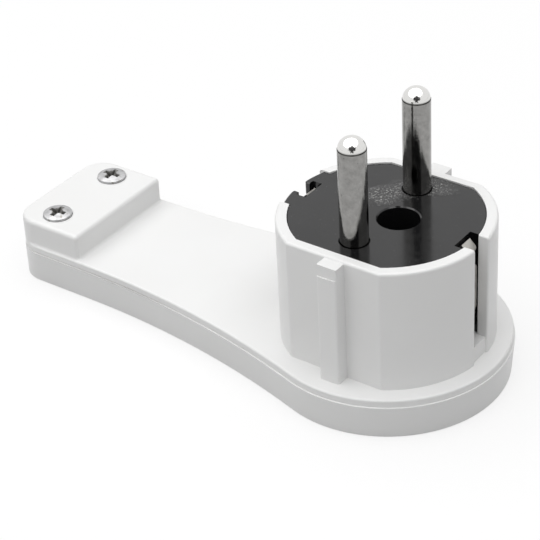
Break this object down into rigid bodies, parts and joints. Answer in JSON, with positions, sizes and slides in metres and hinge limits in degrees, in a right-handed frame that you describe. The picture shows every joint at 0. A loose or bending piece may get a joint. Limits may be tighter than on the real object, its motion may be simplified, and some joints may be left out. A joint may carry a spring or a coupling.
{
  "type": "flat angled plug",
  "caption": "Low, flat-backed mains plug whose handle lies along the wall, with round pins, side earth contacts and a clamped cord inlet at the handle's end.",
  "frame": {"origin": "on the axis midway between the pins, in the plane of the flat back", "axes": "+Z the way the pins point, -X along the handle to the cord inlet, Y along the line of the pins"},
  "size_m": [0.0958, 0.043, 0.0492],
  "materials": {
    "white_housing": "satin moulded thermoset",
    "white_saddle": "satin moulded",
    "black_carrier": "glossy with a spark-textured patch",
    "nickel_pin": "bright nickel plate on turned brass",
    "nickel_strip": "nickel-plated stamped strip",
    "zinc_screw": "zinc-plated",
    "brass": "plain turned and drilled"
  },
  "bodies": {
    "root": {"back_cover": "white_housing", "front_housing": "white_housing", "contact_carrier": "black_carrier", "pin_line": "nickel_pin", "pin_neutral": "nickel_pin", "terminal_block_line": "brass", "terminal_block_neutral": "brass", "terminal_screw_line": "zinc_screw", "terminal_screw_neutral": "zinc_screw", "earth_bridge": "nickel_strip", "earth_clamp_washer": "zinc_screw", "earth_screw": "zinc_screw", "centre_screw": "zinc_screw", "clamp_screw_front": "zinc_screw", "clamp_screw_rear": "zinc_screw", "clamp_insert_front": "brass", "clamp_insert_rear": "brass", "cord_clamp_saddle": "white_saddle"}
  },
  "joints": []
}
